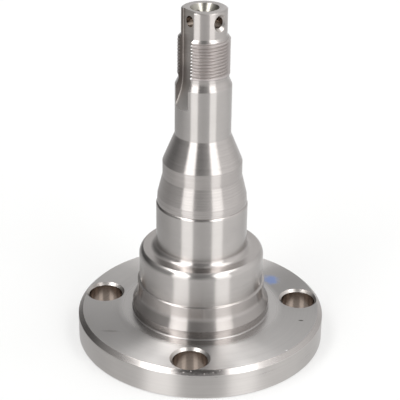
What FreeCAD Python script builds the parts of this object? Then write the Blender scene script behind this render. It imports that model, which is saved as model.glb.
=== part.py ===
import FreeCAD, Part
import math
import os

os.makedirs("parts", exist_ok=True)

# All sizes are in millimetres. The axle stands on its mounting face, with its axis up along Z.
# Its front looks along -Y, and the two side fixing holes lie on a line along X.
# Angles are counted from the front, to the right.

# Flange
flange_thickness = 9.7
flange_edge_chamfer = 1.4
back_edge_chamfer = 0.4

# Fixing holes: a front and back pair in a line along Y, and a side pair in a line along X
bolt_circle_diameter = 65.4
hole_to_flange_edge = 7.4
bolt_hole_diameter = 11.0
bolt_hole_chamfer = 0.8
front_hole_angle = -2.7
side_hole_angle = 100.5

# Collar: a foot land, a flare, a band and the ground land for the oil seal
seal_land_diameter = 40.0
seal_land_length = 9.1
band_step = 0.6
band_step_length = 0.2
band_length = 4.0
flare_width = 1.6
flare_length = 3.5
foot_land_length = 2.9
foot_slope = 0.5
seal_lead_length = 2.35
seal_lead_width = 1.3

# Inner bearing seat with its fillet and the small steps above it
inner_seat_diameter = 29.0
inner_seat_length = 15.75
inner_seat_fillet = 2.7
seat_lead_length = 0.65
seat_lead_width = 0.2
scribed_groove_width = 0.4
scribed_groove_depth = 0.15
upper_land_step = 0.1
upper_land_length = 0.75
lower_cone_step = 0.1
upper_step_length = 0.7

# Neck between the two seats
lower_cone_length = 7.3
neck_diameter = 25.0
neck_length = 4.7
upper_cone_length = 9.5

# Outer bearing seat and the tapered undercut that leads up to the thread
outer_seat_diameter = 17.46
outer_seat_length = 15.7
relief_length = 0.5
relief_depth = 0.3
undercut_length = 3.0

# Thread, drawn at its outside diameter, and the plain end
thread_diameter = 16.0
thread_length = 12.0
tip_diameter = 13.9
tip_length = 7.0
tip_chamfer_length = 0.3
tip_chamfer_width = 0.5

# Centre holes in both ends
tip_centre_mouth = 8.8
back_centre_mouth = 6.3
centre_pilot_diameter = 4.0
centre_pilot_depth = 4.0
centre_cone_angle = 60.0

# Split pin holes: two crossing holes through the plain end
pin_hole_diameter = 3.4
pin_hole_countersink = 0.95
pin_hole_drop = 3.1
pin_hole_angle = -49.0

# Groove for the lock washer, with the run-out of a disc cutter
groove_width = 6.3
groove_floor = 5.45
groove_cutter_radius = 17.2
groove_angle = pin_hole_angle

# How far a drill or cutter runs past the face that it starts from
cutter_overrun = 2.0

# Radii that follow from the sizes above
seal_r = seal_land_diameter / 2
band_r = seal_r + band_step
foot_r = band_r + flare_width
flange_r = bolt_circle_diameter / 2 + hole_to_flange_edge
inner_r = inner_seat_diameter / 2
seat_lead_r = inner_r - seat_lead_width
upper_land_r = seat_lead_r - upper_land_step
step_r = upper_land_r - lower_cone_step
neck_r = neck_diameter / 2
outer_r = outer_seat_diameter / 2
thread_r = thread_diameter / 2
relief_r = thread_r - relief_depth
tip_r = tip_diameter / 2

# Heights that follow, from the mounting face up
z_face = flange_thickness
z_foot = z_face + foot_land_length
z_flare = z_foot + flare_length
z_band = z_flare + band_length
z_seal = z_band + band_step_length
z_seal_top = z_seal + seal_land_length
z_shoulder = z_seal_top + seal_lead_length
z_inner_top = z_shoulder + inner_seat_length
z_lead = z_inner_top + seat_lead_length
z_scribe = z_lead + scribed_groove_width
z_upper_land = z_scribe + upper_land_length
z_step = z_upper_land + upper_step_length
z_cone = z_step + upper_step_length
z_neck = z_cone + lower_cone_length - upper_step_length
z_neck_top = z_neck + neck_length
z_outer = z_neck_top + upper_cone_length
z_outer_top = z_outer + outer_seat_length
z_undercut = z_outer_top + undercut_length
z_thread = z_undercut + relief_length
z_thread_top = z_thread + thread_length
z_tip = z_thread_top + (thread_r - tip_r)
z_tip_top = z_tip + tip_length
z_end = z_tip_top + tip_chamfer_length


def point(r, z):
    return FreeCAD.Vector(r, 0, z)


def line(a, b):
    return Part.makeLine(point(*a), point(*b))


def round_from_upright(upright, other):
    """Arc that leaves the upright wall at its first point without a corner."""
    dr = other[0] - upright[0]
    dz = other[1] - upright[1]
    radius = (dr * dr + dz * dz) / (2 * abs(dr))
    side = 1 if dr > 0 else -1
    turn = math.asin(min(1.0, abs(dz) / radius)) / 2
    mid_r = upright[0] + side * radius * (1 - math.cos(turn))
    mid_z = upright[1] + math.copysign(radius * math.sin(turn), dz)
    return mid_r, mid_z


def arc(a, middle, b):
    return Part.Arc(point(*a), point(*middle), point(*b)).toShape()


def quarter(corner_r, corner_z, radius):
    """Middle point of a hollow fillet between an upright wall and the face at its foot."""
    away = radius * (1 - math.sqrt(0.5))
    return corner_r + away, corner_z + away


# Outline of the turned body, from the mounting face up to the tip
edges = []
at = (0.0, 0.0)


def to(r, z):
    global at
    edges.append(line(at, (r, z)))
    at = (r, z)


def curve_to(middle, r, z):
    global at
    edges.append(arc(at, middle, (r, z)))
    at = (r, z)


to(flange_r - back_edge_chamfer, 0.0)
to(flange_r, back_edge_chamfer)
to(flange_r, z_face - flange_edge_chamfer)
to(flange_r - flange_edge_chamfer, z_face)
to(foot_r + foot_slope, z_face)
to(foot_r, z_face + foot_slope)
to(foot_r, z_foot)
to(band_r, z_flare)
to(band_r, z_band)
to(seal_r, z_seal)
to(seal_r, z_seal_top)
shoulder_r = seal_r - seal_lead_width
curve_to(round_from_upright((seal_r, z_seal_top), (shoulder_r, z_shoulder)), shoulder_r, z_shoulder)
to(inner_r + inner_seat_fillet, z_shoulder)
curve_to(quarter(inner_r, z_shoulder, inner_seat_fillet), inner_r, z_shoulder + inner_seat_fillet)
to(inner_r, z_inner_top)
to(seat_lead_r, z_lead)
to(upper_land_r - scribed_groove_depth, z_lead + 0.4 * scribed_groove_width)
to(upper_land_r, z_scribe)
to(upper_land_r, z_upper_land)
to(step_r, z_step)
to(step_r, z_cone)
to(neck_r, z_neck)
to(neck_r, z_neck_top)
to(outer_r, z_outer)
to(outer_r, z_outer_top)
to(relief_r, z_undercut)
to(relief_r, z_thread)
to(thread_r, z_thread + relief_depth)
to(thread_r, z_thread_top)
to(tip_r, z_tip)
to(tip_r, z_tip_top)
to(tip_r - tip_chamfer_width, z_end)
to(0.0, z_end)
to(0.0, 0.0)

profile = Part.Face(Part.Wire(edges))
body = profile.revolve(FreeCAD.Vector(0, 0, 0), FreeCAD.Vector(0, 0, 1), 360)


def turned_cut(points):
    """Solid of revolution about Z for a hole in an end face."""
    loop = [point(*p) for p in points] + [point(*points[0])]
    return Part.Face(Part.makePolygon(loop)).revolve(FreeCAD.Vector(0, 0, 0), FreeCAD.Vector(0, 0, 1), 360)


def centre_hole(mouth_r, z_mouth, down):
    """Centre drilling: cone, pilot and drill point. down is -1 for the tip, 1 for the back."""
    pilot_r = centre_pilot_diameter / 2
    cone = (mouth_r - pilot_r) / math.tan(math.radians(centre_cone_angle / 2))
    z_cone_end = z_mouth + down * cone
    z_pilot_end = z_cone_end + down * centre_pilot_depth
    z_point = z_pilot_end + down * pilot_r * math.tan(math.radians(30))
    return turned_cut([(0.0, z_mouth), (mouth_r, z_mouth), (pilot_r, z_cone_end), (pilot_r, z_pilot_end), (0.0, z_point)])


body = body.cut(centre_hole(tip_centre_mouth / 2, z_end, -1))
body = body.cut(centre_hole(back_centre_mouth / 2, 0.0, 1))


def outward(angle):
    """Unit vector for an angle counted from the front, to the right."""
    a = math.radians(angle)
    return FreeCAD.Vector(math.sin(a), -math.cos(a), 0)


# Fixing holes through the flange, chamfered on the spindle side
hole_r = bolt_hole_diameter / 2
for angle in (front_hole_angle, 180 - front_hole_angle, side_hole_angle, -side_hole_angle):
    foot = outward(angle) * (bolt_circle_diameter / 2)
    drill = Part.makeCylinder(hole_r, flange_thickness + 2 * cutter_overrun,
                              foot - FreeCAD.Vector(0, 0, cutter_overrun))
    sink = Part.makeCone(hole_r, hole_r + bolt_hole_chamfer, bolt_hole_chamfer,
                         foot + FreeCAD.Vector(0, 0, z_face - bolt_hole_chamfer))
    body = body.cut(drill)
    body = body.cut(sink)

# Two split pin holes at right angles, countersunk where they break the round end
z_pin = z_end - pin_hole_drop
pin_r = pin_hole_diameter / 2
for angle in (pin_hole_angle, pin_hole_angle + 90):
    direction = outward(angle)
    middle = FreeCAD.Vector(0, 0, z_pin)
    drill = Part.makeCylinder(pin_r, 4 * tip_r, middle - direction * (2 * tip_r), direction)
    body = body.cut(drill)
    for side in (1, -1):
        away = direction * side
        start = middle + away * (tip_r - pin_hole_countersink)
        sink = Part.makeCone(pin_r, pin_r + 2 * pin_hole_countersink, 2 * pin_hole_countersink, start, away)
        body = body.cut(sink)

# Lock washer groove: straight from the tip, then up the round of the cutter into the outer seat
direction = outward(groove_angle)
across = FreeCAD.Vector(0, 0, 1).cross(direction)
slot = Part.makeBox(groove_cutter_radius, groove_width, z_end - z_thread + cutter_overrun)
slot.rotate(FreeCAD.Vector(0, 0, 0), FreeCAD.Vector(0, 0, 1), math.degrees(math.atan2(direction.y, direction.x)))
slot.translate(direction * groove_floor - across * (groove_width / 2) + FreeCAD.Vector(0, 0, z_thread))
disc_centre = direction * (groove_floor + groove_cutter_radius) + FreeCAD.Vector(0, 0, z_thread)
disc = Part.makeCylinder(groove_cutter_radius, groove_width, disc_centre - across * (groove_width / 2), across)
body = body.cut(slot.fuse(disc))

body = body.removeSplitter()
solid = body.Solids[0]
solid.exportStep("parts/stub_axle.step")

box = solid.BoundBox
print("solids", len(body.Solids), "valid", solid.isValid(), "volume", round(solid.Volume, 1))
print("box", round(box.XLength, 2), round(box.YLength, 2), round(box.ZMin, 3), round(box.ZMax, 3))
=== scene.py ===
import math

import bmesh
import bpy
from mathutils import Matrix, Vector


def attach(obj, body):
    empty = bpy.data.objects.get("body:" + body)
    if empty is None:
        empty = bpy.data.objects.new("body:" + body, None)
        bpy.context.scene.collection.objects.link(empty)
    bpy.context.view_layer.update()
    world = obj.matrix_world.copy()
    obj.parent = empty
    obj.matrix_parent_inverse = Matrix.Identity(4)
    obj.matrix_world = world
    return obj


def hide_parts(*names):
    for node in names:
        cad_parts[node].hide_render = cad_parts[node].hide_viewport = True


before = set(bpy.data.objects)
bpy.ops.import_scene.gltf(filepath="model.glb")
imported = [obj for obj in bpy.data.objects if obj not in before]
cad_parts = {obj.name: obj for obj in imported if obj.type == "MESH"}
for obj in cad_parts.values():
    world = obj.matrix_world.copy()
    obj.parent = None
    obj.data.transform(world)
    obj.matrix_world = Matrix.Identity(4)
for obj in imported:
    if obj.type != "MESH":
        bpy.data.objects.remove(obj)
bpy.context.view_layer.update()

MM = 0.001
TURN = 2 * math.pi

# Sizes in millimetres. They are the solid's own, but for a few edges above the inner seat, the
# groove and the split pin holes: those lie up to 0.8 mm from the solid's, where the photograph shows them.
# The axle stands on its mounting face, with its axis up along Z and its front towards -Y.
# Angles are counted from the front, to the right.

# Flange
FLANGE_R = 40.1
FACE_Z = 9.7
FLANGE_CHAMFER = 1.4
BACK_CHAMFER = 0.4

# Fixing holes
BOLT_CIRCLE_R = 32.7
BOLT_HOLE_R = 5.5
BOLT_CHAMFER = 0.8
BOLT_ANGLES = (-2.7, 182.7, 100.5, -100.5)

# Collar
FOOT_R = 22.2
FOOT_TOP = 12.6
FOOT_FILLET = 0.4
BAND_R = 20.6
FLARE_TOP = 16.1
FLARE_ROUND = 4.5
BAND_TOP = 20.1
SEAL_R = 20.0
SEAL_Z = 20.3
SEAL_TOP = 29.4
SHOULDER_R = 18.7
SHOULDER_Z = 31.75

# Inner bearing seat and the small steps above it
INNER_R = 14.5
INNER_FILLET = 2.7
INNER_TOP = 47.3
LEAD_R = 14.3
LEAD_Z = 47.75
LAND_R = 14.2
SCRIBE_DEPTH = 0.1
SCRIBE_Z = 48.15
LAND_TOP = 49.3
STEP_R = 14.1
STEP_Z = 49.9
CONE_Z = 50.7

# Neck, outer bearing seat and the undercut that leads up to the thread
NECK_R = 12.5
NECK_Z = 57.3
NECK_TOP = 62.0
NECK_FILLET = 1.0
OUTER_R = 8.73
OUTER_Z = 71.2
OUTER_TOP = 87.2
RELIEF_R = 7.7
RELIEF_TOP_R = 7.8
UNDERCUT_TOP = 89.4
UNDERCUT_ROUND = 3.0
THREAD_Z = 90.7

# Thread and the plain end
THREAD_R = 8.0
THREAD_PITCH = 1.0
THREAD_DEPTH = 0.6134 * THREAD_PITCH
THREAD_TOP = 101.9
TIP_R = 6.95
TIP_Z = 102.95
TIP_TOP = 110.75
END_Z = 111.05
TIP_CHAMFER = 0.5

# Centre holes
TIP_MOUTH_R = 4.4
BACK_MOUTH_R = 3.15
PILOT_R = 2.0
PILOT_DEPTH = 4.0

# Split pin holes and lock washer groove
PIN_R = 1.7
PIN_Z = 107.65
PIN_SINK = 0.95
PIN_DRILL_REACH = 9.0
GROOVE_ANGLE = -49.0
PIN_ANGLES = (GROOVE_ANGLE, 46.0)
GROOVE_WIDTH = 6.1
GROOVE_SHIFT = 0.1
GROOVE_FLOOR = 5.45
GROOVE_CUTTER_R = 17.2
GROOVE_CORNER = 0.25

# Nicks on the front of the flange's chamfer, as (angle, height, half length)
NICKS = ((-4.7, 8.95, 0.5), (-1.4, 9.3, 0.3), (4.6, 8.8, 0.3), (8.6, 9.1, 0.35), (11.6, 9.4, 0.4))
NICK_HALF_WIDTH = 0.3
NICK_HALF_DEPTH = 0.15
NICK_LIFT = 0.07

# Edges are broken by this much, and cutters run this far past the faces that they start from
EDGE = 0.12
OVERRUN = 2.0

# Straight sides that stand for a full circle
SEGMENTS = 256
HOLE_SEGMENTS = 72

# Lean of the centre cones, the drill points and the thread's flanks
LEAN = math.radians(30)

# Tool marks: how much the radius counts beside the height, so that flat faces and cones get rings too,
# how fast the rings waver round the axis and how closely broad patches follow each other, per millimetre
RADIUS_WEIGHT = 0.7
WAVER = 0.02
PATCHES = 0.11

# The noise keeps mostly within these bounds, and changes the roughness by this share
NOISE_LOW = 0.25
NOISE_HIGH = 0.75
ROUGHNESS_SHARE = 0.15

FINISHES = (
    "ground_steel_seat",
    "turned_steel_spindle",
    "fine_turned_steel_collar",
    "faced_steel_flange",
    "turned_steel_rim",
    "thread_cut_steel",
    "drilled_steel",
    "centre_drilled_steel",
    "countersunk_steel",
    "milled_steel_groove",
    "shaded_steel_groove_wall",
    "faced_steel_mounting_face",
)
SEAT, TURNED, COLLAR, FACED, RIM, THREAD, DRILLED, CENTRE, SUNK, MILLED, WALL, BACK = range(len(FINISHES))


def outward(angle):
    """Level unit vector at that angle from the front."""
    a = math.radians(angle)
    return Vector((math.sin(a), -math.cos(a), 0))


def on(angle, radius, height):
    """Place in millimetres at that angle from the front, distance from the axis and height."""
    return outward(angle) * radius + Vector((0, 0, height))


def rounded(corner, before, after, radius):
    """Points of the round that takes the place of a corner of an outline."""
    corner = Vector(corner)
    back = Vector(before) - corner
    ahead = Vector(after) - corner
    turn = math.pi - back.angle(ahead)
    if radius <= 0 or turn < math.radians(2):
        return [corner]
    reach = min(radius * math.tan(turn / 2), 0.45 * back.length, 0.45 * ahead.length)
    radius = reach / math.tan(turn / 2)
    start = corner + back.normalized() * reach
    end = corner + ahead.normalized() * reach
    inwards = (back.normalized() + ahead.normalized()).normalized()
    centre = corner + inwards * (radius / math.cos(turn / 2))
    steps = max(2, round(math.degrees(turn) / 15))
    first = start - centre
    swing = first.angle_signed(end - centre)
    return [centre + Matrix.Rotation(-swing * i / steps, 2) @ first for i in range(steps + 1)]


def lead_in(upright, other, steps=8):
    """Points of the arc that leaves an upright wall with no corner and ends at the other point."""
    dr = other[0] - upright[0]
    dz = other[1] - upright[1]
    radius = (dr * dr + dz * dz) / (2 * abs(dr))
    turn = math.asin(min(1.0, abs(dz) / radius))
    points = []
    for i in range(1, steps):
        part = turn * i / steps
        r = upright[0] + math.copysign(radius * (1 - math.cos(part)), dr)
        z = upright[1] + math.copysign(radius * math.sin(part), dz)
        points.append((r, z, 0, SEAT))
    return points


def finished(bm, name):
    """Object of that name from a bmesh, with the finishes as its material slots."""
    mesh = bpy.data.meshes.new(name)
    bm.to_mesh(mesh)
    bm.free()
    piece = bpy.data.objects.new(name, mesh)
    bpy.context.scene.collection.objects.link(piece)
    for finish in FINISHES:
        mesh.materials.append(materials[finish])
    return piece


def turned(outline, name, segments=SEGMENTS):
    """Closed mesh turned about Z from an outline that starts and ends on the axis.

    Each point is (r, z, radius of its corner, finish of the run that leads up to it).
    """
    points = []
    for i, (r, z, radius, finish) in enumerate(outline):
        if 0 < i < len(outline) - 1:
            before = outline[i - 1][:2]
            after = outline[i + 1][:2]
            points += [(p.x, p.y, finish) for p in rounded((r, z), before, after, radius)]
        else:
            points.append((r, z, finish))
    bm = bmesh.new()
    rings = []
    for r, z, _ in points:
        if r < 1e-6:
            rings.append([bm.verts.new((0, 0, z * MM))])
            continue
        ring = []
        for s in range(segments):
            a = TURN * s / segments
            ring.append(bm.verts.new((r * MM * math.cos(a), r * MM * math.sin(a), z * MM)))
        rings.append(ring)
    for i in range(1, len(rings)):
        low, high = rings[i - 1], rings[i]
        for s in range(segments):
            t = (s + 1) % segments
            loop = []
            for vert in (low[s % len(low)], low[t % len(low)], high[t % len(high)], high[s % len(high)]):
                if vert not in loop:
                    loop.append(vert)
            bm.faces.new(loop).material_index = points[i][2]
    bmesh.ops.recalc_face_normals(bm, faces=bm.faces)
    return finished(bm, name)


def swept(sections, name, finishes):
    """Closed mesh through sections in millimetres, loops of as many points, with a finish for each side."""
    bm = bmesh.new()
    loops = [[bm.verts.new(Vector(p) * MM) for p in section] for section in sections]
    count = len(loops[0])
    for low, high in zip(loops, loops[1:]):
        for s in range(count):
            t = (s + 1) % count
            bm.faces.new((low[s], low[t], high[t], high[s])).material_index = finishes[s % len(finishes)]
    for end in (loops[0], loops[-1]):
        bm.faces.new(end).material_index = finishes[0]
    bmesh.ops.recalc_face_normals(bm, faces=bm.faces)
    return finished(bm, name)


def axle_outline():
    """Outline of the turned body, from the centre hole in the mounting face up to the one in the tip."""
    cone = 1 / math.tan(LEAN)
    point = PILOT_R * math.tan(LEAN)
    back_cone = (BACK_MOUTH_R - PILOT_R) * cone
    tip_cone = END_Z - (TIP_MOUTH_R - PILOT_R) * cone
    return [
        (0, back_cone + PILOT_DEPTH + point, 0, CENTRE),
        (PILOT_R, back_cone + PILOT_DEPTH, 0, CENTRE),
        (PILOT_R, back_cone, 0, CENTRE),
        (BACK_MOUTH_R, 0, EDGE, CENTRE),
        (FLANGE_R - BACK_CHAMFER, 0, EDGE, BACK),
        (FLANGE_R, BACK_CHAMFER, EDGE, RIM),
        (FLANGE_R, FACE_Z - FLANGE_CHAMFER, 0.3, RIM),
        (FLANGE_R - FLANGE_CHAMFER, FACE_Z, 0.3, COLLAR),
        (FOOT_R, FACE_Z, FOOT_FILLET, FACED),
        (FOOT_R, FOOT_TOP, 0.15, COLLAR),
        (BAND_R, FLARE_TOP, FLARE_ROUND, COLLAR),
        (BAND_R, BAND_TOP, EDGE, COLLAR),
        (SEAL_R, SEAL_Z, 0.08, COLLAR),
        (SEAL_R, SEAL_TOP, 0, SEAT),
        *lead_in((SEAL_R, SEAL_TOP), (SHOULDER_R, SHOULDER_Z)),
        (SHOULDER_R, SHOULDER_Z, EDGE, COLLAR),
        (INNER_R, SHOULDER_Z, INNER_FILLET, COLLAR),
        (INNER_R, INNER_TOP, EDGE, SEAT),
        (LEAD_R, LEAD_Z, 0, TURNED),
        (LAND_R - SCRIBE_DEPTH, LEAD_Z + 0.4 * (SCRIBE_Z - LEAD_Z), 0, TURNED),
        (LAND_R, SCRIBE_Z, 0.05, TURNED),
        (LAND_R, LAND_TOP, EDGE, TURNED),
        (STEP_R, STEP_Z, 0, TURNED),
        (STEP_R, CONE_Z, 0.3, TURNED),
        (NECK_R, NECK_Z, 1.0, TURNED),
        (NECK_R, NECK_TOP, 0.6, TURNED),
        (OUTER_R, OUTER_Z, NECK_FILLET, TURNED),
        (OUTER_R, OUTER_TOP, 0.5, SEAT),
        (RELIEF_R, UNDERCUT_TOP, UNDERCUT_ROUND, TURNED),
        (RELIEF_TOP_R, THREAD_Z, 0, TURNED),
        (THREAD_R, THREAD_Z + THREAD_R - RELIEF_TOP_R, 0, THREAD),
        (THREAD_R, THREAD_TOP, EDGE, THREAD),
        (TIP_R, TIP_Z, 0.1, TURNED),
        (TIP_R, TIP_TOP, EDGE, TURNED),
        (TIP_R - TIP_CHAMFER, END_Z, EDGE, TURNED),
        (TIP_MOUTH_R, END_Z, EDGE, TURNED),
        (PILOT_R, tip_cone, 0, CENTRE),
        (PILOT_R, tip_cone - PILOT_DEPTH, 0, CENTRE),
        (0, tip_cone - PILOT_DEPTH - point, 0, CENTRE),
    ]


def thread_cutter():
    """Helical cutter of the sixty degree thread, which fades out towards the undercut."""
    steps = 72
    spill = 0.05
    lift = 0.4
    fade = 0.7 * THREAD_PITCH
    least = 0.02
    half_root = THREAD_PITCH / 8
    bottom = THREAD_Z + lift
    top = TIP_Z + lift
    count = int((top - bottom) / THREAD_PITCH * steps)
    sections = []
    for i in range(count + 1):
        z = bottom + THREAD_PITCH * i / steps
        a = TURN * i / steps
        depth = THREAD_DEPTH * min(1.0, (z - bottom + least) / fade)
        half_mouth = half_root + (depth + spill) * math.tan(LEAN)
        inner, outer = THREAD_R - depth, THREAD_R + spill
        loop = ((inner, -half_root), (inner, half_root), (outer, half_mouth), (outer, -half_mouth))
        sections.append([(r * math.cos(a), r * math.sin(a), z + dz) for r, dz in loop])
    return swept(sections, "thread_cutter", (THREAD,))


def groove_cutter():
    """Lock washer groove: straight down from the tip, then out along the round of the disc cutter."""
    up = Vector((0, 0, 1))
    out = outward(GROOVE_ANGLE)
    across = up.cross(out)
    half = GROOVE_WIDTH / 2
    mouth = OUTER_R - GROOVE_FLOOR + 2.5 * OVERRUN
    run_out = math.radians(40)
    steps = 24
    path = [(GROOVE_FLOOR, END_Z + OVERRUN, 0.0)]
    for i in range(steps + 1):
        a = run_out * i / steps
        floor = GROOVE_FLOOR + GROOVE_CUTTER_R * (1 - math.cos(a))
        path.append((floor, THREAD_Z - GROOVE_CUTTER_R * math.sin(a), a))

    # One side of the section from the mouth down to the floor, as (distance from the middle, rise)
    side = [(half, mouth), (half, GROOVE_CORNER)]
    for b in (math.radians(30), math.radians(60)):
        side.append((half - GROOVE_CORNER * (1 - math.cos(b)), GROOVE_CORNER * (1 - math.sin(b))))
    side.append((half - GROOVE_CORNER, 0))

    sections = []
    for floor, z, a in path:
        normal = out * math.cos(a) + up * math.sin(a)
        foot = out * floor - across * GROOVE_SHIFT + up * z
        left = [foot + across * away + normal * rise for away, rise in side]
        right = [foot - across * away + normal * rise for away, rise in reversed(side)]
        sections.append(left + right)
    wall, corner = [WALL], [MILLED] * 3
    return swept(sections, "groove_cutter", wall + corner + [MILLED] + corner + wall + [MILLED])


def drill(radius, low, high, sinks, name):
    """Cutter for a drilled hole along Z.

    Each countersink is (height of the face, depth, 1 to open upwards or -1 downwards).
    """
    outline = [(0, low, 0, DRILLED)]
    below = [sink for sink in sinks if sink[2] < 0]
    above = [sink for sink in sinks if sink[2] > 0]
    for z, depth, _ in below:
        outline += [(radius + depth + z - low, low, 0, SUNK), (radius, z + depth, 0, SUNK)]
    if not below:
        outline.append((radius, low, 0, DRILLED))
    for z, depth, _ in above:
        outline += [(radius, z - depth, 0, DRILLED), (radius + depth + high - z, high, 0, SUNK)]
    outline.append((0, high, 0, DRILLED))
    return turned(outline, name, HOLE_SEGMENTS)


def pin_drill(angle):
    """Cutter for a split pin hole right through the plain end, countersunk at both mouths."""
    sinks = ((TIP_R, PIN_SINK, 1), (-TIP_R, PIN_SINK, -1))
    hole = drill(PIN_R, -PIN_DRILL_REACH, PIN_DRILL_REACH, sinks, "pin_drill")
    turn = outward(angle).to_track_quat("Z", "X").to_matrix().to_4x4()
    hole.data.transform(Matrix.Translation(Vector((0, 0, PIN_Z * MM))) @ turn)
    return hole


def bolt_drill(angle):
    """Cutter for a fixing hole, chamfered on the spindle side of the flange."""
    hole = drill(BOLT_HOLE_R, -OVERRUN, FACE_Z + OVERRUN, ((FACE_Z, BOLT_CHAMFER, 1),), "bolt_drill")
    hole.data.transform(Matrix.Translation(outward(angle) * BOLT_CIRCLE_R * MM))
    return hole


def nick_cutter(angle, height, half_length):
    """Flat oval cutter that knocks a nick into the flange's chamfer."""
    bm = bmesh.new()
    bmesh.ops.create_icosphere(bm, subdivisions=2, radius=1.0)
    # The nick takes the groove wall's darker finish: painted shade in the dent.
    for face in bm.faces:
        face.material_index = WALL
    knock = finished(bm, "nick")
    lie = Matrix.LocRotScale(None, None, Vector((half_length, NICK_HALF_WIDTH, NICK_HALF_DEPTH)))
    turn = Matrix.Rotation(math.radians(angle), 4, "Z") @ Matrix.Rotation(math.radians(45), 4, "X")
    chamfer = on(angle, FLANGE_R + FACE_Z - FLANGE_CHAMFER - height, height)
    middle = chamfer + (outward(angle) + Vector((0, 0, 1))) * NICK_LIFT
    knock.data.transform(Matrix.Translation(middle * MM) @ turn @ lie @ Matrix.Scale(MM, 4))
    return knock


def cut(piece, cutter):
    """Takes the cutter away from the piece, and removes the cutter."""
    bpy.context.view_layer.update()
    tool = piece.modifiers.new("cut", "BOOLEAN")
    tool.operation = "DIFFERENCE"
    tool.solver = "MANIFOLD"
    tool.object = cutter
    graph = bpy.context.evaluated_depsgraph_get()
    mesh = bpy.data.meshes.new_from_object(piece.evaluated_get(graph))
    piece.modifiers.clear()
    piece.data = mesh
    bpy.data.objects.remove(cutter)


def linear(colour):
    """sRGB hex colour as linear red, green, blue and alpha."""
    channels = [int(colour[i:i + 2], 16) / 255 for i in (1, 3, 5)]
    return tuple(c / 12.92 if c <= 0.04045 else ((c + 0.055) / 1.055) ** 2.4 for c in channels) + (1.0,)


def add(tree, kind, inputs=None, **settings):
    """Adds a node with its settings, and gives its inputs their values or links."""
    node = tree.nodes.new(kind)
    for key, value in settings.items():
        setattr(node, key, value)
    for key, value in (inputs or {}).items():
        if isinstance(value, bpy.types.NodeSocket):
            tree.links.new(value, node.inputs[key])
        else:
            node.inputs[key].default_value = value
    return node


def new_material(name):
    """Empty node tree of a new material, which is kept by its name."""
    material = bpy.data.materials.new(name)
    material.use_nodes = True
    material.node_tree.nodes.clear()
    materials[name] = material
    return material.node_tree


def step(tree, value, low, high):
    """Rises from 0 to 1 as the value goes from low to high, or falls if low is the higher one."""
    ends = {"Value": value, "From Min": min(low, high), "From Max": max(low, high)}
    ends.update({"To Min": 0.0, "To Max": 1.0} if low < high else {"To Min": 1.0, "To Max": 0.0})
    return add(tree, "ShaderNodeMapRange", ends, interpolation_type="SMOOTHSTEP").outputs[0]


def window(tree, value, low, high, soft):
    """1 where the value lies between low and high, with soft edges."""
    rise = step(tree, value, low - soft, low + soft)
    fall = step(tree, value, high + soft, high - soft)
    return add(tree, "ShaderNodeMath", {0: rise, 1: fall}, operation="MULTIPLY").outputs[0]


def levels(tree, share, stops):
    """Brightness along a run from 0 to 1, given at its stops as (place, brightness)."""
    ramp = add(tree, "ShaderNodeValToRGB", {0: share})
    while len(ramp.color_ramp.elements) < len(stops):
        ramp.color_ramp.elements.new(0.5)
    for element, (place, level) in zip(ramp.color_ramp.elements, stops):
        element.position = place
        element.color = (level, level, level, 1)
    return ramp.outputs[0]


def tool_marks(tree, spacing):
    """Noise drawn out into rings round the axis, that many millimetres apart on every turned surface."""
    place = add(tree, "ShaderNodeTexCoord").outputs["Object"]
    place = add(tree, "ShaderNodeVectorMath", {0: place, "Scale": 1 / MM}, operation="SCALE").outputs[0]
    parts = add(tree, "ShaderNodeSeparateXYZ", {0: place}).outputs
    flat = add(tree, "ShaderNodeCombineXYZ", {0: parts[0], 1: parts[1]}).outputs[0]
    radius = add(tree, "ShaderNodeVectorMath", {0: flat}, operation="LENGTH").outputs["Value"]
    weighed = {0: radius, 1: RADIUS_WEIGHT, 2: parts[2]}
    along = add(tree, "ShaderNodeMath", weighed, operation="MULTIPLY_ADD").outputs[0]
    rings = add(tree, "ShaderNodeMath", {0: along, 1: 1 / spacing}, operation="MULTIPLY").outputs[0]
    slow = add(tree, "ShaderNodeVectorMath", {0: flat, "Scale": WAVER}, operation="SCALE").outputs[0]
    slow = add(tree, "ShaderNodeSeparateXYZ", {0: slow}).outputs
    grain = add(tree, "ShaderNodeCombineXYZ", {0: slow[0], 1: slow[1], 2: rings}).outputs[0]
    lines = add(tree, "ShaderNodeTexNoise", {"Vector": grain, "Scale": 1.0, "Detail": 3.0, "Roughness": 0.6})
    return place, radius, lines.outputs[0]


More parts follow.
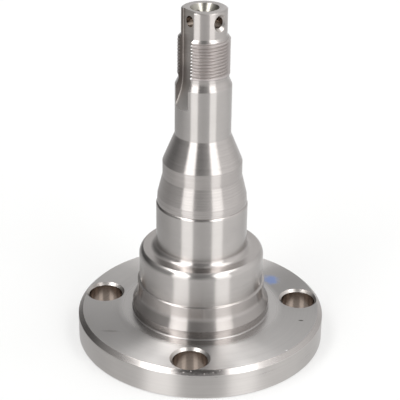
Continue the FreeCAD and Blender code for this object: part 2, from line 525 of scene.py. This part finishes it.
def machined(name, colour, roughness, spread, spacing, contrast, relief, cloud=0.05):
    """Machined steel, with rings from the tool at that spacing in millimetres.

    Spread is how far the rings fan the light out across them. Contrast is how much the rings differ
    in tone, and cloud how much broad patches do. Relief is the depth of the rings in millimetres.
    """
    tree = new_material(name)
    place, radius, lines = tool_marks(tree, spacing)
    patches = add(tree, "ShaderNodeTexNoise", {"Vector": place, "Scale": PATCHES, "Detail": 2.0}).outputs[0]
    dark = [c * (1 - contrast - cloud) for c in linear(colour)[:3]] + [1.0]
    light = [min(1.0, c * (1 + contrast + cloud)) for c in linear(colour)[:3]] + [1.0]
    share = contrast / (contrast + cloud)
    blend = add(tree, "ShaderNodeMix", {0: share, 2: patches, 3: lines}, data_type="FLOAT").outputs[0]
    noise = {"Value": blend, "From Min": NOISE_LOW, "From Max": NOISE_HIGH}
    tone = add(tree, "ShaderNodeMapRange", noise).outputs[0]
    base = add(tree, "ShaderNodeMix", {0: tone, 6: dark, 7: light}, data_type="RGBA").outputs[2]
    smoothest = roughness * (1 - ROUGHNESS_SHARE)
    roughest = roughness * (1 + ROUGHNESS_SHARE)
    gloss = add(tree, "ShaderNodeMapRange", {**noise, "To Min": smoothest, "To Max": roughest}).outputs[0]
    bump = add(tree, "ShaderNodeBump", {"Height": lines, "Distance": relief * MM, "Strength": 1.0}).outputs[0]
    ways = add(tree, "ShaderNodeTangent", direction_type="RADIAL", axis="Z").outputs[0]
    shader = add(tree, "ShaderNodeBsdfPrincipled", {
        "Base Color": base, "Roughness": gloss, "Metallic": 1.0, "Normal": bump,
        "Anisotropic": spread, "Anisotropic Rotation": 0.25, "Tangent": ways})
    add(tree, "ShaderNodeOutputMaterial", {"Surface": shader.outputs[0]})
    return tree, shader, place, radius


def spot(tree, place, centre, half, soft, ragged):
    """1 inside an oval mark of that centre and those half sizes in millimetres, with a ragged edge."""
    rough = add(tree, "ShaderNodeTexNoise", {"Vector": place, "Scale": 0.6, "Detail": 3.0}).outputs["Color"]
    shift = add(tree, "ShaderNodeVectorMath", {0: rough, 1: (-0.5, -0.5, -0.5)}, operation="ADD").outputs[0]
    shift = add(tree, "ShaderNodeVectorMath", {0: shift, "Scale": ragged}, operation="SCALE").outputs[0]
    moved = add(tree, "ShaderNodeVectorMath", {0: place, 1: shift}, operation="ADD").outputs[0]
    offset = add(tree, "ShaderNodeVectorMath", {0: moved, 1: centre}, operation="SUBTRACT").outputs[0]
    scaled = add(tree, "ShaderNodeVectorMath", {0: offset, 1: half}, operation="DIVIDE").outputs[0]
    reach = add(tree, "ShaderNodeVectorMath", {0: scaled}, operation="LENGTH").outputs["Value"]
    return step(tree, reach, 1 + soft, 1 - soft)


def height_of(tree, place):
    return add(tree, "ShaderNodeSeparateXYZ", {0: place}).outputs[2]


def tinted(tree, shader, mask, colour):
    """Another tone where the mask is 1."""
    base = shader.inputs["Base Color"].links[0].from_socket
    tone = add(tree, "ShaderNodeMix", {0: mask, 6: base, 7: linear(colour)}, data_type="RGBA").outputs[2]
    tree.links.new(tone, shader.inputs["Base Color"])


def roughened(tree, shader, mask, roughness):
    """Another roughness where the mask is 1."""
    before = shader.inputs["Roughness"].links[0].from_socket
    after = add(tree, "ShaderNodeMix", {0: mask, 2: before, 3: roughness}, data_type="FLOAT").outputs[0]
    tree.links.new(after, shader.inputs["Roughness"])


def painted(tree, shader, mask, colour):
    """Thin matt paint over the steel where the mask is 1."""
    tinted(tree, shader, mask, colour)
    roughened(tree, shader, mask, 0.45)
    bare = add(tree, "ShaderNodeMath", {0: 1.0, 1: mask}, operation="SUBTRACT").outputs[0]
    tree.links.new(bare, shader.inputs["Metallic"])


materials = {}

# Ground bearing steel: the smoothest finish, so it shows the clearest strips of light.
# Grinding lines lie a few hundredths of a millimetre apart. They are drawn at 0.25 mm so that they show.
machined(
    "ground_steel_seat", "#BEBAB7", roughness=0.22, spread=0.8,
    spacing=0.25, contrast=0.03, relief=0.0006)

# Turned steel: fine feed lines round the axis, drawn at 0.35 mm instead of 0.1 mm.
machined(
    "turned_steel_spindle", "#BCB7B4", roughness=0.24, spread=0.85,
    spacing=0.35, contrast=0.06, relief=0.0004)

# Finely turned and polished steel of the collar and the chamfers: its edges and fillets stay crisp.
# Its feed lines are as close as grinding lines, and are drawn at 0.25 mm too.
collar = machined(
    "fine_turned_steel_collar", "#BEB9B6", roughness=0.235, spread=1.0,
    spacing=0.25, contrast=0.03, relief=0.0001)

# Faced steel: the facing tool's rings fan the light out from the centre. They are drawn at 0.4 mm.
flange = machined(
    "faced_steel_flange", "#C9C6C4", roughness=0.42, spread=1.0,
    spacing=0.4, contrast=0.04, relief=0.0005)

# Turned steel of the rim: a coarser feed, so it is softer than the spindle. Drawn at 0.4 mm.
machined(
    "turned_steel_rim", "#C2BEBB", roughness=0.30, spread=0.6,
    spacing=0.4, contrast=0.05, relief=0.0010)

# Steel with a cut thread: torn a little by the tool, so it is duller and a touch warmer.
thread = machined(
    "thread_cut_steel", "#C3BCBA", roughness=0.40, spread=0.5,
    spacing=0.5, contrast=0.05, relief=0.0008)

# Drilled steel: dull, dark brown walls.
machined(
    "drilled_steel", "#8F837A", roughness=0.22, spread=0.3,
    spacing=0.5, contrast=0.12, relief=0.003, cloud=0.1)

# Centre drilled steel: left brighter than the through holes.
machined(
    "centre_drilled_steel", "#ADAAA1", roughness=0.32, spread=0.5,
    spacing=0.5, contrast=0.06, relief=0.002, cloud=0.06)

# Countersunk steel: cut last, so it is clean and bright.
machined(
    "countersunk_steel", "#C0BBB7", roughness=0.30, spread=0.3,
    spacing=0.5, contrast=0.05, relief=0.001)

# Milled steel of the groove: dull and mottled. Its walls are painted darker still, as painted shade in the
# groove.
groove = machined(
    "milled_steel_groove", "#B6B0AB", roughness=0.36, spread=0.0,
    spacing=0.6, contrast=0.1, relief=0.002, cloud=0.2)
machined(
    "shaded_steel_groove_wall", "#95908D", roughness=0.36, spread=0.0,
    spacing=0.6, contrast=0.1, relief=0.002, cloud=0.18)

# Faced steel underneath: as the upper side of the flange, but plainer.
machined(
    "faced_steel_mounting_face", "#B4B1AE", roughness=0.40, spread=0.9,
    spacing=0.4, contrast=0.07, relief=0.001, cloud=0.08)

# Blue paint dab on the flange face, and a dark fleck, a faint scuff and a bright scratch.
# A mark's third half size is deep enough to take in the whole face.
tree, shader, place, radius = flange
painted(tree, shader, spot(tree, place, on(127.4, 29.3, FACE_Z), (2.4, 2.9, 9), 0.5, 3.0), "#7F90BA")
tinted(tree, shader, spot(tree, place, on(76.2, 33.9, FACE_Z), (0.75, 0.3, 9), 0.4, 0.3), "#595451")
tinted(tree, shader, spot(tree, place, on(-56, 33.5, FACE_Z), (2.6, 0.5, 9), 0.5, 0.8), "#B6B2AF")
tinted(tree, shader, spot(tree, place, on(47.1, 38.5, FACE_Z), (0.4, 0.35, 9), 0.4, 0.2), "#FFFFFF")

# The facing tool ran smoother close to the foot of the collar, so the foot is mirrored there. That ring is
# also painted darker, as painted shade and a painted reflection of the collar's foot.
# The fillet at the foot is half as smooth, and painted darker still, as painted shade in the corner.
close = step(tree, radius, 27.5, 24.3)
tinted(tree, shader, close, "#C0BDBB")
foot = step(tree, radius, 22.65, 22.4)
tinted(tree, shader, foot, "#B3AFAD")
smoother = add(tree, "ShaderNodeMath", {0: foot, 1: -0.5, 2: close}, operation="MULTIPLY_ADD").outputs[0]
roughened(tree, shader, smoother, 0.20)

# Dirt caught in the nicked part of the flange's chamfer
tree, shader, place, radius = collar
tinted(tree, shader, spot(tree, place, on(2.5, 39.4, 9.3), (7.5, 1.5, 0.5), 0.5, 1.6), "#84807D")

# The flare and the foot of the collar are painted darker than the ground land above them, as painted shade
# low on the collar beside the flange.
low = step(tree, height_of(tree, place), 16.2, 14.9)
inside = step(tree, radius, 30, 25)
low = add(tree, "ShaderNodeMath", {0: low, 1: inside}, operation="MULTIPLY").outputs[0]
tinted(tree, shader, low, "#A8A3A0")

# Where the groove cuts off the turns of the thread, the points of the burr are painted white as a painted
# highlight, and the gaps between them, down in the roots, are painted dark as painted shade.
tree, shader, place, radius = thread
burr_highlight = spot(tree, place, on(-27.6, THREAD_R, 96.5), (0.55, 0.55, 9), 0.3, 0.1)
roots = step(tree, radius, 7.85, 7.5)
shaded_gaps = add(tree, "ShaderNodeMath", {0: burr_highlight, 1: roots}, operation="MULTIPLY").outputs[0]
tinted(tree, shader, burr_highlight, "#FFFFFF")
tinted(tree, shader, roots, "#C2BCB9")
tinted(tree, shader, shaded_gaps, "#3A3533")

# The groove is bright where it runs out into the seat, and painted darker where it deepens, as painted shade
# in the deeper groove. It has two specks at its end.
tree, shader, place, _ = groove
height = height_of(tree, place)
tinted(tree, shader, step(tree, height, 88, 83), "#E2DDD9")
tinted(tree, shader, window(tree, height, 87.5, 94, 2.0), "#A39D99")
for angle, z in ((-46, 81.6), (-36, 82.1)):
    tinted(tree, shader, spot(tree, place, on(angle, OUTER_R, z), (0.5, 0.5, 0.5), 0.4, 0.5), "#716B67")

# Stub axle: turned first, then threaded, milled, drilled and nicked
axle = turned(axle_outline(), "steel_stub_axle")
cut(axle, thread_cutter())
cut(axle, groove_cutter())
for angle in PIN_ANGLES:
    cut(axle, pin_drill(angle))
for angle in BOLT_ANGLES:
    cut(axle, bolt_drill(angle))
for angle, height, half_length in NICKS:
    cut(axle, nick_cutter(angle, height, half_length))

axle.data.shade_smooth()
axle.data.set_sharp_from_angle(angle=math.radians(28))
smooth = axle.modifiers.new("even_normals", "WEIGHTED_NORMAL")
smooth.keep_sharp = True
smooth.weight = 100

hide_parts("stub_axle")
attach(axle, "root")

# Floor: a pale sheet that the camera sees as white, but for the axle's shadow. From beneath it is clear.
# It reaches this far to each side and lies this far below the axle, and its own glow lifts it to white.
FLOOR_REACH = 1500
FLOOR_DROP = 0.05
FLOOR_GLOW = 0.46

bm = bmesh.new()
bmesh.ops.create_grid(bm, x_segments=1, y_segments=1, size=FLOOR_REACH * MM)
floor_mesh = bpy.data.meshes.new("floor")
bm.to_mesh(floor_mesh)
bm.free()
floor = bpy.data.objects.new("floor", floor_mesh)
floor.location.z = -FLOOR_DROP * MM
bpy.context.scene.collection.objects.link(floor)
tree = new_material("pale_floor")
seen = add(tree, "ShaderNodeLightPath").outputs["Is Camera Ray"]
lit = add(tree, "ShaderNodeBsdfDiffuse", {"Color": linear("#B1B1B0")})
lift = add(tree, "ShaderNodeMath", {0: seen, 1: FLOOR_GLOW}, operation="MULTIPLY").outputs[0]
glow = add(tree, "ShaderNodeEmission", {"Color": (1, 1, 1, 1), "Strength": lift})
both = add(tree, "ShaderNodeAddShader", {0: lit.outputs[0], 1: glow.outputs[0]})
below = add(tree, "ShaderNodeNewGeometry").outputs["Backfacing"]
clear = add(tree, "ShaderNodeBsdfTransparent")
sheet = add(tree, "ShaderNodeMixShader", {0: below, 1: both.outputs[0], 2: clear.outputs[0]})
add(tree, "ShaderNodeOutputMaterial", {"Surface": sheet.outputs[0]})
floor.data.materials.append(materials["pale_floor"])
floor.visible_glossy = False

# Studio: a pale table below, walls that are dark on the left and pale on the right, and a ceiling.
# Each gives its brightness by bearing from the front, in degrees to the right.
NEAR_TABLE = (
    (-180, 0.85), (-130, 0.78), (-90, 0.72), (-58, 0.72), (-12, 0.7), (5, 0.66), (30, 0.7), (65, 0.86),
    (100, 0.8), (132, 0.68), (160, 0.66), (180, 0.8))
TABLE = (
    (-180, 0.85), (-150, 0.45), (-110, 0.44), (-92, 0.46), (-76, 0.56), (-58, 0.66), (-12, 0.68), (5, 0.62),
    (30, 0.68), (65, 0.86), (100, 0.79), (132, 0.66), (160, 0.66), (180, 0.8))
WALLS = (
    (-180, 0.7), (-150, 0.12), (-120, 0.06), (-95, 0.14), (-60, 0.34), (0, 0.36), (65, 0.95), (100, 0.9),
    (140, 0.6), (180, 0.8))
UPPER_WALLS = (
    (-180, 0.75), (-155, 0.3), (-120, 0.09), (-95, 0.25), (-60, 0.24), (0, 0.155), (40, 0.5), (65, 0.9),
    (100, 0.9), (140, 0.6), (180, 0.8))
CEILING = (
    (-180, 0.8), (-140, 0.35), (-100, 0.6), (-60, 0.6), (-15, 0.26), (20, 0.26), (65, 0.95), (100, 0.95),
    (140, 0.7), (180, 0.8))

# Two strip lights stand in front, between these bearings as the camera sees them. Overhead they reach
# back to just behind the axle, between these sideways parts of a direction. Towards their outer sides
# they grow stronger there, the left one most of all.
CAMERA_TURN = 2.5
LEFT_STRIP = (-51, -21.5)
RIGHT_STRIP = (26.5, 54.5)
LEFT_OVERHEAD = (-0.575, -0.28)
RIGHT_OVERHEAD = (0.34, 0.595)
LEFT_OUTER_POWER = 5.0
RIGHT_OUTER_POWER = 1.8
INNER_POWER = -0.6

# The axle shades the table close in front of the flange, between these heights and bearings
SHADE_HEIGHTS = (-0.54, -0.48)
SHADE_BEARINGS = (-20, 25)
SHADE_DEPTH = 0.35

# Brightness of the strips by height, from -1 straight down to 1 straight up
STRIP_LEVELS = (
    (-0.6, 1.2), (-0.5, 1.6), (-0.4, 1.28), (-0.2, 1.28), (0.1, 1.85), (0.35, 1.85), (0.6, 3.6), (0.8, 3.5),
    (0.95, 2.8))
STRIP_SCALE = 5
ROOM_LIGHT = 1.1

world = bpy.data.worlds.new("studio")
bpy.context.scene.world = world
world.use_nodes = True
sky = world.node_tree
sky.nodes.clear()
way = add(sky, "ShaderNodeTexCoord").outputs["Generated"]
to_right, to_back, to_top = add(sky, "ShaderNodeSeparateXYZ", {0: way}).outputs
ahead = add(sky, "ShaderNodeMath", {0: to_back, 1: -1.0}, operation="MULTIPLY").outputs[0]
bearing = add(sky, "ShaderNodeMath", {0: to_right, 1: ahead}, operation="ARCTAN2").outputs[0]
bearing = add(sky, "ShaderNodeMath", {0: bearing, 1: 360 / TURN}, operation="MULTIPLY").outputs[0]
full_round = {"Value": bearing, "From Min": -180.0, "From Max": 180.0}
round_share = add(sky, "ShaderNodeMapRange", full_round).outputs[0]


def round_the_room(brightness):
    """Brightness by bearing from the front in degrees."""
    return levels(sky, round_share, [((degrees + 180) / 360, level) for degrees, level in brightness])


def topped(room, brightness, low, high):
    """The room with what stands over it, which takes its place between those two heights."""
    upper = round_the_room(brightness)
    over = step(sky, to_top, low, high)
    return add(sky, "ShaderNodeMix", {0: over, 6: room, 7: upper}, data_type="RGBA").outputs[2]


def strip_pair(value, left, right, soft):
    """1 within either strip light."""
    one = window(sky, value, *left, soft)
    other = window(sky, value, *right, soft)
    return add(sky, "ShaderNodeMath", {0: one, 1: other}, operation="ADD").outputs[0]


def turned_to_camera(bearings):
    """Bearings as the camera sees them, counted from the front of the axle."""
    return [degrees + CAMERA_TURN for degrees in bearings]


# Table, with its shaded part, then the walls and the ceiling over it
room = topped(round_the_room(NEAR_TABLE), TABLE, -0.62, -0.46)
shade_height = window(sky, to_top, *SHADE_HEIGHTS, 0.03)
shade_width = window(sky, bearing, *turned_to_camera(SHADE_BEARINGS), 8.0)
shade = add(sky, "ShaderNodeMath", {0: shade_height, 1: shade_width}, operation="MULTIPLY").outputs[0]
shade = add(sky, "ShaderNodeMath", {0: shade, 1: -SHADE_DEPTH, 2: 1.0}, operation="MULTIPLY_ADD").outputs[0]
room = add(sky, "ShaderNodeVectorMath", {0: room, "Scale": shade}, operation="SCALE").outputs[0]
room = topped(room, WALLS, -0.2, 0.1)
room = topped(room, UPPER_WALLS, 0.28, 0.42)
room = topped(room, CEILING, 0.5, 0.75)

# Where the strip lights are, in front and overhead
standing = strip_pair(bearing, turned_to_camera(LEFT_STRIP), turned_to_camera(RIGHT_STRIP), 2.0)
sides = strip_pair(to_right, LEFT_OVERHEAD, RIGHT_OVERHEAD, 0.04)
in_front = step(sky, to_back, 0.3, 0.08)
reaching = add(sky, "ShaderNodeMath", {0: sides, 1: in_front}, operation="MULTIPLY").outputs[0]
overhead = step(sky, to_top, 0.5, 0.8)
strips = add(sky, "ShaderNodeMix", {0: overhead, 2: standing, 3: reaching}, data_type="FLOAT").outputs[0]

# How bright they are
up_share = add(sky, "ShaderNodeMapRange", {"Value": to_top, "From Min": -1.0, "From Max": 1.0}).outputs[0]
strip_light = levels(sky, up_share, [((rise + 1) / 2, level / STRIP_SCALE) for rise, level in STRIP_LEVELS])
outer_left = step(sky, to_right, -0.36, -0.52)
outer_right = step(sky, to_right, 0.4, 0.55)
left_power = {0: outer_left, 1: LEFT_OUTER_POWER, 2: INNER_POWER}
extra = add(sky, "ShaderNodeMath", left_power, operation="MULTIPLY_ADD").outputs[0]
right_power = {0: outer_right, 1: RIGHT_OUTER_POWER, 2: extra}
extra = add(sky, "ShaderNodeMath", right_power, operation="MULTIPLY_ADD").outputs[0]
above = step(sky, to_top, 0.5, 0.7)
power = add(sky, "ShaderNodeMath", {0: extra, 1: above, 2: STRIP_SCALE}, operation="MULTIPLY_ADD").outputs[0]
strip_light = add(sky, "ShaderNodeVectorMath", {0: strip_light, "Scale": power}, operation="SCALE").outputs[0]
studio = add(sky, "ShaderNodeMix", {0: strips, 6: room, 7: strip_light}, data_type="RGBA").outputs[2]
studio = add(sky, "ShaderNodeVectorMath", {0: studio, "Scale": ROOM_LIGHT}, operation="SCALE").outputs[0]

# The background is white where it is looked at straight. The steel reflects the studio instead.
ray = add(sky, "ShaderNodeLightPath").outputs
looks = {0: ray["Is Camera Ray"], 1: ray["Is Transmission Ray"]}
straight = add(sky, "ShaderNodeMath", looks, operation="MAXIMUM").outputs[0]
view = add(sky, "ShaderNodeMix", {0: straight, 6: studio, 7: (1, 1, 1, 1)}, data_type="RGBA").outputs[2]
background = add(sky, "ShaderNodeBackground", {"Color": view, "Strength": 1.0})
add(sky, "ShaderNodeOutputWorld", {"Surface": background.outputs[0]})

# Camera: above and in front, as the photograph was taken
CAMERA_REACH = 350.4
CAMERA_HEIGHT = 218.7
CAMERA_PITCH = math.radians(25.99)
CAMERA_YAW = math.radians(-0.10)
CAMERA_ROLL = math.radians(0.753)
FOCAL_PIXELS = 1231
IMAGE_PIXELS = 400
SENSOR_WIDTH = 36

camera_data = bpy.data.cameras.new("camera")
camera_data.sensor_width = SENSOR_WIDTH
camera_data.lens = SENSOR_WIDTH * FOCAL_PIXELS / IMAGE_PIXELS
camera_data.clip_start = 0.01
camera = bpy.data.objects.new("camera", camera_data)
bpy.context.scene.collection.objects.link(camera)
level = Vector((math.sin(CAMERA_YAW), math.cos(CAMERA_YAW), 0))
forward = level * math.cos(CAMERA_PITCH) - Vector((0, 0, math.sin(CAMERA_PITCH)))
right = Vector((math.cos(CAMERA_YAW), -math.sin(CAMERA_YAW), 0))
up = right.cross(forward)
side = right * math.cos(CAMERA_ROLL) + up * math.sin(CAMERA_ROLL)
top = up * math.cos(CAMERA_ROLL) - right * math.sin(CAMERA_ROLL)
stand = Matrix((side, top, -forward)).transposed().to_4x4()
stand.translation = Vector((0, -CAMERA_REACH, CAMERA_HEIGHT)) * MM
camera.matrix_world = Matrix.Rotation(math.radians(CAMERA_TURN), 4, "Z") @ stand
bpy.context.scene.camera = camera

bpy.context.scene.view_settings.view_transform = "Standard"

bpy.context.view_layer.update()
